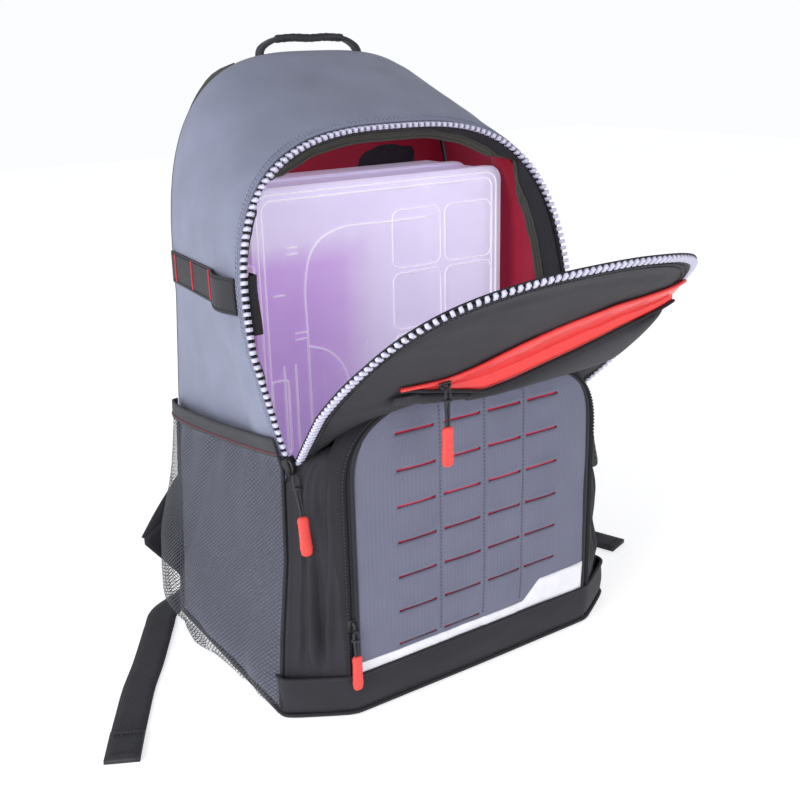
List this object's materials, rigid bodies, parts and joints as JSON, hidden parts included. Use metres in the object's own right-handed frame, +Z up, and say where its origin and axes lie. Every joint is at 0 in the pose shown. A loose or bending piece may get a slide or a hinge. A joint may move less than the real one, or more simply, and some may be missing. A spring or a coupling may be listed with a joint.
{
  "type": "tackle backpack",
  "caption": "Upright backpack with an arched zip flap that folds open, slide-in utility boxes, mesh side pockets and a slit lash panel on its front pocket.",
  "frame": {"origin": "middle of the base, on the floor that the bag stands on", "axes": "+Z up, the front of the bag faces -Y, +X is to the right as the front is looked at"},
  "size_m": [0.5329, 0.3761, 0.4755],
  "materials": {
    "body_fabric": "coated woven polyester, grey-blue",
    "black_fabric": "fine ripstop polyester, black",
    "back_fabric": "woven polyester, black",
    "pad_mesh": "air mesh over foam",
    "strap_fabric": "woven polyester over foam",
    "buckle_plastic": "moulded acetal, black",
    "webbing": "woven polyester webbing",
    "lining_red": "thin lining cloth, dark red",
    "zip_tape": "knitted zip tape, black",
    "zip_teeth": "moulded teeth, pale grey",
    "bartack_thread": "red thread",
    "side_mesh": "open polyester mesh",
    "elastic_band": "folded elastic binding",
    "molle_fabric": "laser-cut laminate, grey",
    "slit_backing": "red cloth behind the slits",
    "stripe": "rubberised print film, pale",
    "red_welt": "coated fabric, bright red",
    "slider_metal": "black lacquered zinc",
    "pull_rubber": "soft moulded grip, red",
    "pull_black": "soft moulded grip, black",
    "box_clear": "translucent polypropylene",
    "box_divider": "translucent polypropylene",
    "box_latch": "translucent polypropylene"
  },
  "bodies": {
    "bag": {"back_panel": "back_fabric", "back_pad_left": "pad_mesh", "back_pad_right": "pad_mesh", "shoulder_strap_left": "strap_fabric", "shoulder_strap_right": "strap_fabric", "ladder_lock_left": "buckle_plastic", "ladder_lock_right": "buckle_plastic", "lower_webbing_left": "webbing", "lower_webbing_right": "webbing", "strap_tail_left": "webbing", "strap_tail_right": "webbing", "anchor_wing_left": "strap_fabric", "anchor_wing_right": "strap_fabric", "base_panel": "black_fabric", "gusset": "body_fabric", "front_wall": "black_fabric", "lining": "lining_red", "zip_facing": "black_fabric", "main_zip_tape": "zip_tape", "main_zip_chain": "zip_teeth", "side_webbing_left": "webbing", "side_webbing_right": "webbing", "bartacks": "bartack_thread", "webbing_tab": "webbing", "mesh_pocket_left": "side_mesh", "mesh_pocket_right": "side_mesh", "mesh_band_left": "elastic_band", "mesh_band_right": "elastic_band", "pocket_gusset": "black_fabric", "bottom_band": "black_fabric", "molle_panel": "molle_fabric", "molle_backing": "slit_backing", "white_stripe": "stripe", "pocket_zip_left": "zip_tape", "pocket_zip_right": "zip_tape"},
    "flap": {"flap_panel": "black_fabric", "flap_zip_tape": "zip_tape", "flap_zip_chain": "zip_teeth", "flap_pocket_panel": "black_fabric", "flap_pocket_lip": "red_welt", "flap_lining": "lining_red"},
    "main_slider_left": {"main_slider_left": "slider_metal"},
    "main_pull_left": {"main_pull_left": "pull_rubber"},
    "main_slider_right": {"main_slider_right": "slider_metal"},
    "main_pull_right": {"main_pull_right": "pull_black"},
    "flap_slider": {"flap_slider": "slider_metal"},
    "flap_pull": {"flap_pull": "pull_rubber"},
    "pocket_slider": {"pocket_slider": "slider_metal"},
    "pocket_pull": {"pocket_pull": "pull_rubber"},
    "carry_handle": {"carry_handle": "webbing"},
    "front_box": {"front_box_tray": "box_clear", "front_box_dividers": "box_divider"},
    "front_box_lid": {"front_box_lid": "box_clear"},
    "front_box_latch_low": {"front_box_latch_low": "box_latch"},
    "front_box_latch_high": {"front_box_latch_high": "box_latch"},
    "rear_box": {"rear_box_tray": "box_clear", "rear_box_dividers": "box_divider", "rear_box_lid": "box_clear"},
    "rear_box_latch_low": {"rear_box_latch_low": "box_latch"},
    "rear_box_latch_high": {"rear_box_latch_high": "box_latch"}
  },
  "joints": [
    {"name": "flap_fold", "type": "hinge", "parent": "bag", "child": "flap", "pos_m": [0, -0.078, 0.187], "axis": [1, 0, 0], "range_deg": [-59.6, 36]},
    {"name": "main_zip_left", "type": "slide", "parent": "bag", "child": "main_slider_left", "axis": [-0.154, 0.2323, 0.9604], "range_m": [0, 0.07]},
    {"name": "main_pull_left_swing", "type": "hinge", "parent": "main_slider_left", "child": "main_pull_left", "pos_m": [-0.1358, -0.08944, 0.18308], "axis": [0, 1, 0], "range_deg": [0, 40]},
    {"name": "main_zip_right", "type": "slide", "parent": "bag", "child": "main_slider_right", "axis": [0.154, 0.2323, 0.9604], "range_m": [0, 0.07]},
    {"name": "main_pull_right_swing", "type": "hinge", "parent": "main_slider_right", "child": "main_pull_right", "pos_m": [0.1358, -0.08944, 0.18308], "axis": [0, -1, 0], "range_deg": [0, 40]},
    {"name": "flap_zip", "type": "slide", "parent": "flap", "child": "flap_slider", "axis": [0.9438, -0.2378, 0.2296], "range_m": [0, 0.16]},
    {"name": "flap_pull_swing", "type": "hinge", "parent": "flap_slider", "child": "flap_pull", "pos_m": [-0.056, -0.16015, 0.24921], "axis": [-1, 0, 0], "range_deg": [-36, 40]},
    {"name": "pocket_zip", "type": "slide", "parent": "bag", "child": "pocket_slider", "axis": [0, 0, 1], "range_m": [0, 0.095]},
    {"name": "pocket_pull_swing", "type": "hinge", "parent": "pocket_slider", "child": "pocket_pull", "pos_m": [-0.1136, -0.1256, 0.069], "axis": [-1, 0, 0], "range_deg": [0, 80]},
    {"name": "carry_handle_flop", "type": "hinge", "parent": "bag", "child": "carry_handle", "pos_m": [0, 0.101, 0.454], "axis": [-1, 0, 0], "range_deg": [0, 60]},
    {"name": "front_box_tilt", "type": "hinge", "parent": "bag", "child": "front_box", "pos_m": [0, -0.0251, 0.016], "axis": [1, 0, 0], "range_deg": [0, 10]},
    {"name": "front_box_lid_hinge", "type": "hinge", "parent": "front_box", "child": "front_box_lid", "pos_m": [0.115, 0.0042, 0.1935], "axis": [0, 0, 1], "range_deg": [0, 6]},
    {"name": "front_box_latch_low_hinge", "type": "hinge", "parent": "front_box_lid", "child": "front_box_latch_low", "pos_m": [-0.1146, -0.0017, 0.111], "axis": [0, 0, 1], "range_deg": [0, 50]},
    {"name": "front_box_latch_high_hinge", "type": "hinge", "parent": "front_box_lid", "child": "front_box_latch_high", "pos_m": [-0.1146, -0.0017, 0.301], "axis": [0, 0, 1], "range_deg": [0, 50]},
    {"name": "rear_box_latch_low_hinge", "type": "hinge", "parent": "rear_box", "child": "rear_box_latch_low", "pos_m": [-0.1146, 0.0439, 0.111], "axis": [0, 0, 1], "range_deg": [0, 50]},
    {"name": "rear_box_latch_high_hinge", "type": "hinge", "parent": "rear_box", "child": "rear_box_latch_high", "pos_m": [-0.1146, 0.0439, 0.301], "axis": [0, 0, 1], "range_deg": [0, 50]},
    {"name": "rear_box_lift", "type": "slide", "parent": "bag", "child": "rear_box", "axis": [0, 0, 1], "range_m": [0, 0.02]}
  ]
}
